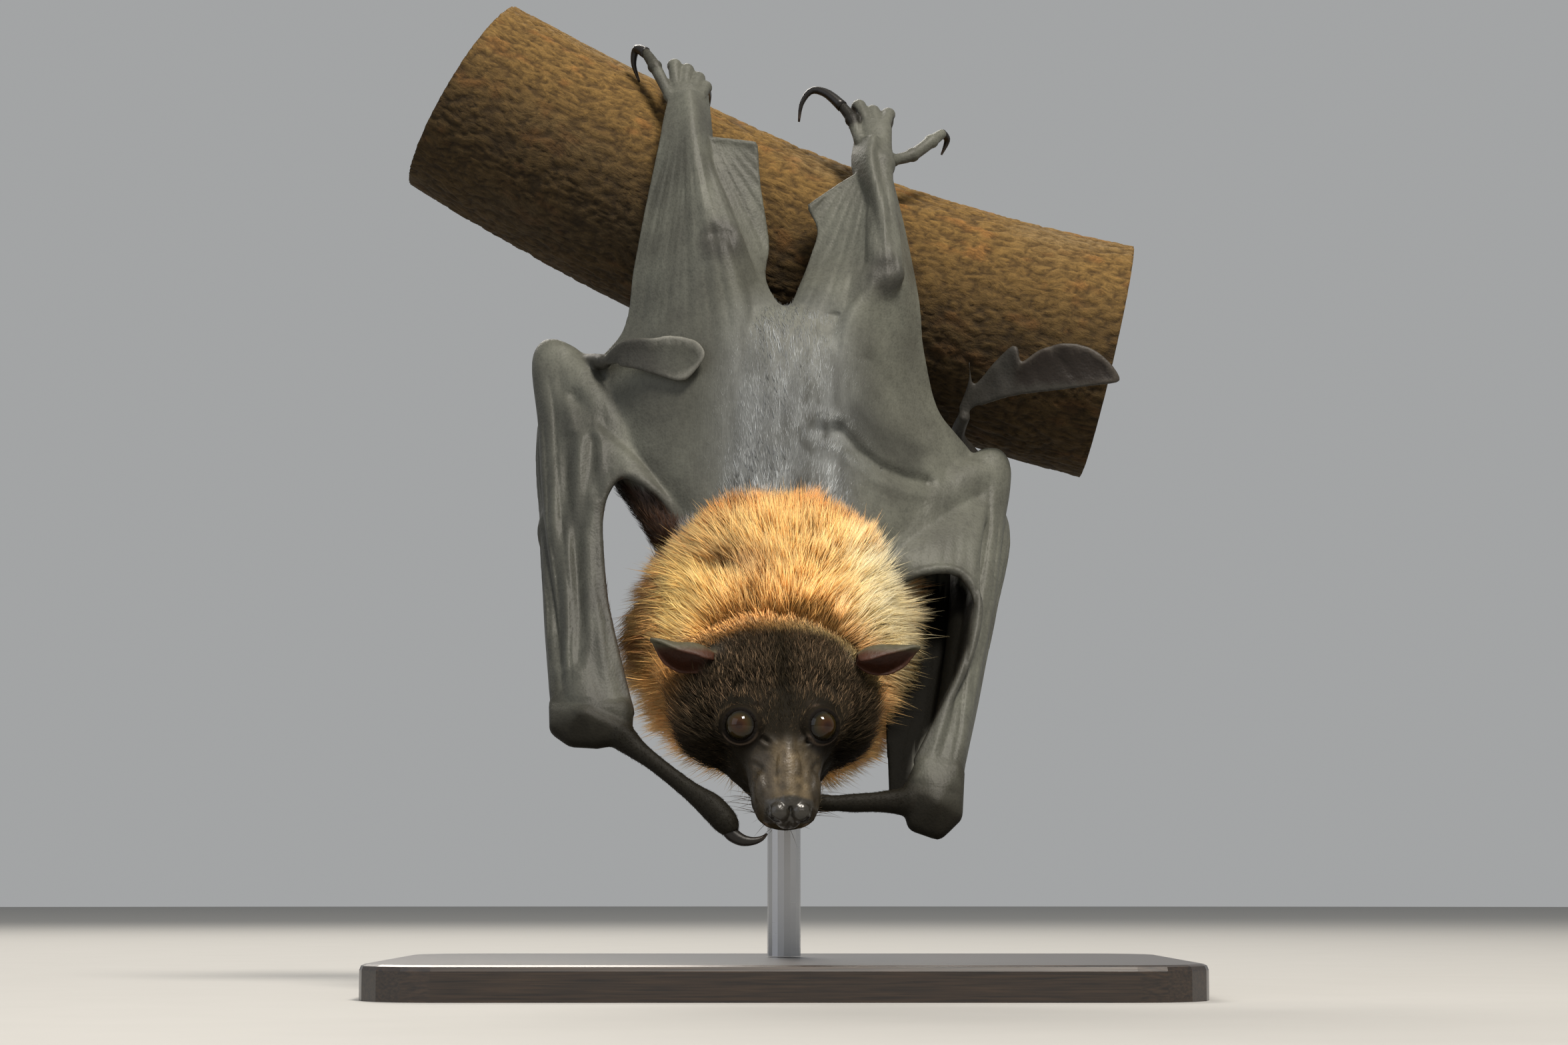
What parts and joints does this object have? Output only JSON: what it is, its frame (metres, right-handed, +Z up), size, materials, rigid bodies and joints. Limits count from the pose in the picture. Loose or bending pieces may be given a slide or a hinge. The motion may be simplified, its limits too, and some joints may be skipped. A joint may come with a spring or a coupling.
{
  "type": "fruit bat hanging from a perch, still model",
  "caption": "Fruit bat hanging head down from a cut length of branch on a plain stand, wings half folded and face turned out, as a still life-size model.",
  "frame": {"origin": "middle of the underside of the stand's base", "axes": "+Z up, -Y the side that the bat's back and face are turned to, +X toward the bat's own left wing, which hangs lower"},
  "size_m": [0.28, 0.208, 0.3591],
  "materials": {
    "mantle_fur": "long soft golden fur with orange-brown edges",
    "dark_fur": "short black-brown and slate grey fur",
    "wing_skin": "matte slate grey skin in long folds",
    "nose_skin": "moist bare skin",
    "eye": "wet brown eye",
    "claw": "smooth dark horn",
    "bark": "rough fissured bark with pale sawn ends",
    "stand_board": "dark stained satin board",
    "steel_rod": "satin steel"
  },
  "bodies": {
    "root": {"arm_web_left": "wing_skin", "arm_web_right": "wing_skin", "chest": "dark_fur", "ear_left": "wing_skin", "ear_right": "wing_skin", "eye_left": "eye", "eye_right": "eye", "fingers_left": "wing_skin", "fingers_right": "wing_skin", "foot_left": "wing_skin", "foot_right": "wing_skin", "forearm_left": "wing_skin", "forearm_right": "wing_skin", "head": "dark_fur", "loin": "dark_fur", "lower_jaw": "dark_fur", "neck": "mantle_fur", "nose_pad": "nose_skin", "palm_web_left": "wing_skin", "perch": "bark", "shin_left": "wing_skin", "shin_right": "wing_skin", "side_web_left": "wing_skin", "side_web_right": "wing_skin", "stand_base": "stand_board", "stand_rod": "steel_rod", "tail_web_left": "wing_skin", "tail_web_right": "wing_skin", "thigh_left": "dark_fur", "thigh_right": "dark_fur", "thumb_claw_left": "claw", "thumb_claw_right": "claw", "thumb_left": "wing_skin", "thumb_right": "wing_skin", "upper_arm_left": "wing_skin", "upper_arm_right": "wing_skin", "wing_tip_left": "wing_skin", "wing_tip_right": "wing_skin", "wrist_left": "wing_skin", "wrist_right": "wing_skin"}
  },
  "joints": []
}
